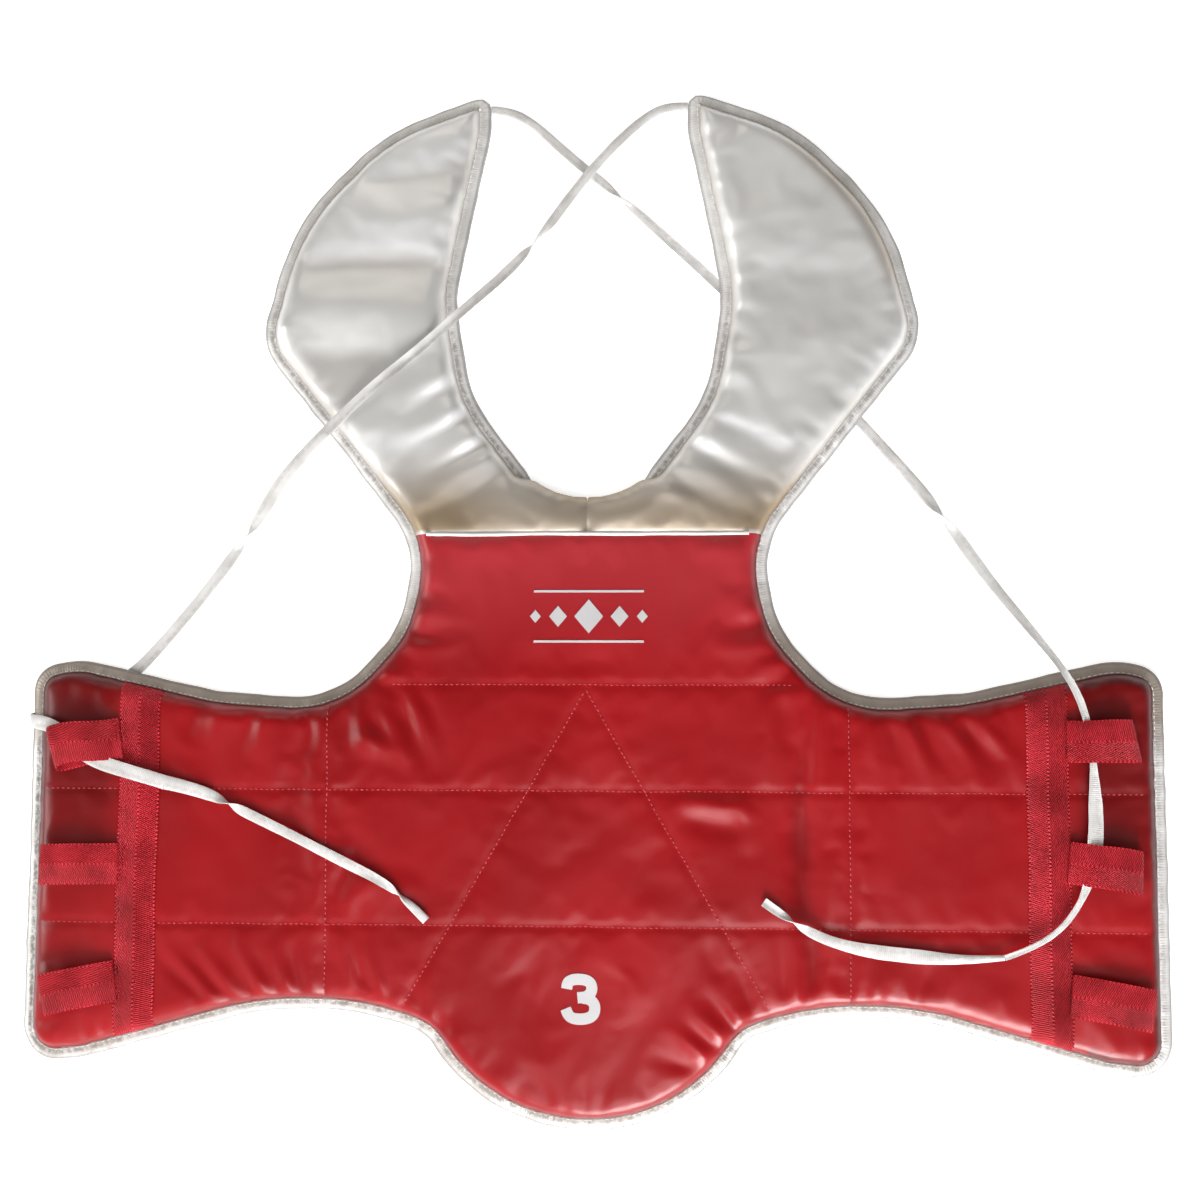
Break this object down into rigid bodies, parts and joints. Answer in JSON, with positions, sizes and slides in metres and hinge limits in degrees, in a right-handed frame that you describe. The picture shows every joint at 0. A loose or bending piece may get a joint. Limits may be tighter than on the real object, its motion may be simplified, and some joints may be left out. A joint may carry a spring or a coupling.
{
  "type": "chest protector",
  "caption": "Padded martial arts chest protector with wrap-round side wings, shoulder flaps, side webbing loops and crossed lacing tapes, lying flat.",
  "frame": {"origin": "middle of the padded vest without its laces, on the plane that it lies on", "axes": "+X across the wings, to the right of the front view; +Y up towards the shoulder flaps; +Z out of the front face"},
  "size_m": [0.711, 0.6462, 0.0226],
  "materials": {
    "red_cover": "smooth artificial leather, satin gloss",
    "white_cover": "smooth artificial leather, satin gloss",
    "foam": "closed cell foam",
    "lining": "plain woven nylon",
    "binding_tape": "ribbed satin tape, folded over the edge",
    "piping": "artificial leather round a cord",
    "webbing": "herringbone webbing",
    "lace_tape": "flat woven satin tape"
  },
  "bodies": {
    "torso": {"torso_foam": "foam", "torso_lining": "lining", "front_panel": "red_cover", "yoke_left": "white_cover", "yoke_right": "white_cover", "seam_piping": "piping", "hem_binding": "binding_tape", "left_arm_binding": "binding_tape", "right_arm_binding": "binding_tape", "neck_binding": "binding_tape"},
    "left_wing": {"left_wing_foam": "foam", "left_wing_lining": "lining", "left_wing_cover": "red_cover", "left_wing_binding": "binding_tape", "left_strip": "webbing", "right_lace_middle": "lace_tape", "right_lace_end": "lace_tape"},
    "right_wing": {"right_wing_foam": "foam", "right_wing_lining": "lining", "right_wing_cover": "red_cover", "right_wing_binding": "binding_tape", "right_strip": "webbing", "left_lace_middle": "lace_tape", "left_lace_end": "lace_tape"},
    "left_flap": {"left_flap_foam": "foam", "left_flap_lining": "lining", "left_flap_cover": "white_cover", "left_flap_binding": "binding_tape", "left_lace_upper": "lace_tape"},
    "right_flap": {"right_flap_foam": "foam", "right_flap_lining": "lining", "right_flap_cover": "white_cover", "right_flap_binding": "binding_tape", "right_lace_upper": "lace_tape"},
    "left_loop_top": {"left_loop_top": "webbing"},
    "left_loop_middle": {"left_loop_middle": "webbing"},
    "left_loop_bottom": {"left_loop_bottom": "webbing"},
    "right_loop_top": {"right_loop_top": "webbing"},
    "right_loop_middle": {"right_loop_middle": "webbing"},
    "right_loop_bottom": {"right_loop_bottom": "webbing"}
  },
  "joints": [
    {"name": "left_wing_fold", "type": "hinge", "parent": "torso", "child": "left_wing", "pos_m": [-0.16, -0.16, 0], "axis": [0, -1, 0], "range_deg": [0, 90], "deforming": ["right_lace_middle", "right_lace_end"]},
    {"name": "right_wing_fold", "type": "hinge", "parent": "torso", "child": "right_wing", "pos_m": [0.16, -0.16, 0], "axis": [0, 1, 0], "range_deg": [0, 90], "deforming": ["left_lace_middle", "left_lace_end"]},
    {"name": "left_flap_fold", "type": "hinge", "parent": "torso", "child": "left_flap", "pos_m": [-0.11, 0.1, 0], "axis": [-1, 0, 0], "range_deg": [0, 100], "deforming": ["left_lace_upper"]},
    {"name": "right_flap_fold", "type": "hinge", "parent": "torso", "child": "right_flap", "pos_m": [0.11, 0.1, 0], "axis": [-1, 0, 0], "range_deg": [0, 100], "deforming": ["right_lace_upper"]},
    {"name": "left_loop_top_lift", "type": "hinge", "parent": "left_wing", "child": "left_loop_top", "pos_m": [-0.2905, -0.087, 0.0164], "axis": [0, 1, 0], "range_deg": [0, 8]},
    {"name": "left_loop_middle_lift", "type": "hinge", "parent": "left_wing", "child": "left_loop_middle", "pos_m": [-0.2905, -0.164, 0.0164], "axis": [0, 1, 0], "range_deg": [0, 90]},
    {"name": "left_loop_bottom_lift", "type": "hinge", "parent": "left_wing", "child": "left_loop_bottom", "pos_m": [-0.2905, -0.2355, 0.0164], "axis": [0, 1, 0], "range_deg": [0, 90]},
    {"name": "right_loop_top_lift", "type": "hinge", "parent": "right_wing", "child": "right_loop_top", "pos_m": [0.2905, -0.0865, 0.0164], "axis": [0, -1, 0], "range_deg": [0, 8]},
    {"name": "right_loop_middle_lift", "type": "hinge", "parent": "right_wing", "child": "right_loop_middle", "pos_m": [0.2905, -0.1585, 0.0164], "axis": [0, -1, 0], "range_deg": [0, 8]},
    {"name": "right_loop_bottom_lift", "type": "hinge", "parent": "right_wing", "child": "right_loop_bottom", "pos_m": [0.2905, -0.2365, 0.0164], "axis": [0, -1, 0], "range_deg": [0, 90]}
  ],
  "couplings": [
    {"joint": "right_flap_fold", "follows": "left_flap_fold", "ratio": 1}
  ]
}
